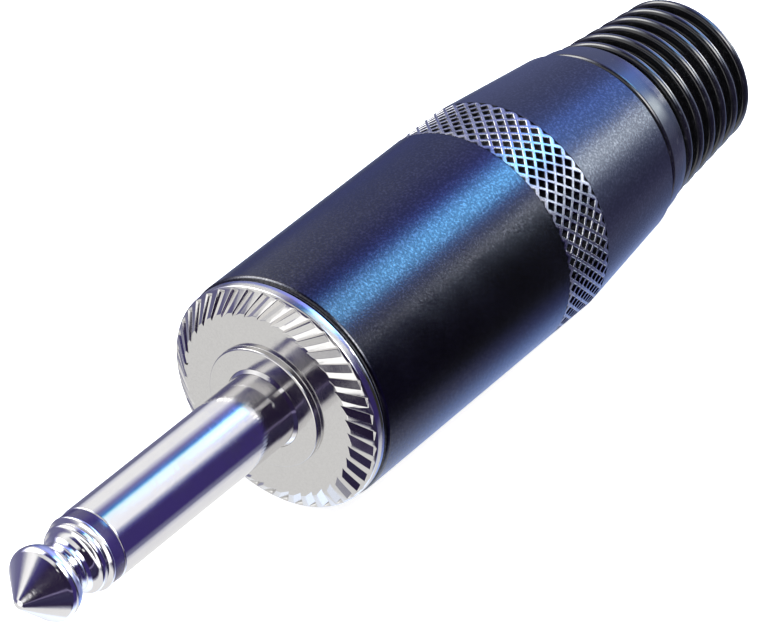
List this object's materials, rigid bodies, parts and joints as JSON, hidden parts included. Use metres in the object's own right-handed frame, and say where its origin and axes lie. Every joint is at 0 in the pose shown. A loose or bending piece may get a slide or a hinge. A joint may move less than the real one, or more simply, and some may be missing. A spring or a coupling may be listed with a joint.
{
  "type": "audio jack plug",
  "caption": "Straight two-contact audio jack plug with a metal shell, toothed crown, insulated solder tags, a cable chuck and a ribbed boot.",
  "frame": {"origin": "middle of the boot's flat rear end, on which the plug stands", "axes": "+Z along the plug's axis from the boot to the tip; +X from the axis to the ground tag's strip"},
  "size_m": [0.0196, 0.0196, 0.0869],
  "materials": {
    "nickel_plate": "polished nickel plate on brass",
    "crown_nickel": "satin nickel plate on brass",
    "black_plastic": "hard black plastic",
    "tag_metal": "tinned brass sheet",
    "shell_finish": "satin blue-black coat on metal",
    "liner_plastic": "pale plastic",
    "chuck_plastic": "black nylon",
    "boot_rubber": "smooth black rubber"
  },
  "bodies": {
    "boot": {"boot": "boot_rubber", "gland_bush": "chuck_plastic"},
    "chuck": {"cable_chuck": "chuck_plastic"},
    "shell": {"shell": "shell_finish"},
    "liner": {"liner": "liner_plastic"},
    "insert": {"tip_contact": "nickel_plate", "tip_insulator": "black_plastic", "sleeve_contact": "nickel_plate", "rear_insulator": "black_plastic", "crown": "crown_nickel", "ground_tag": "tag_metal", "tip_tag": "tag_metal"}
  },
  "joints": [
    {"name": "rear_thread_turn", "type": "hinge", "parent": "boot", "child": "chuck", "pos_m": [0, 0, 0.0165], "axis": [0, 0, 1], "range_deg": [0, 2160]},
    {"name": "rear_thread_travel", "type": "slide", "parent": "chuck", "child": "shell", "axis": [0, 0, 1], "range_m": [0, 0.0045]},
    {"name": "front_thread_turn", "type": "hinge", "parent": "shell", "child": "liner", "pos_m": [0, 0, 0.052], "axis": [0, 0, 1], "range_deg": [0, 2160]},
    {"name": "front_thread_travel", "type": "slide", "parent": "liner", "child": "insert", "axis": [0, 0, 1], "range_m": [0, 0.0045]}
  ],
  "couplings": [
    {"joint": "rear_thread_travel", "follows": "rear_thread_turn", "m_per_rad": 0.00011937},
    {"joint": "front_thread_travel", "follows": "front_thread_turn", "m_per_rad": 0.00011937}
  ]
}
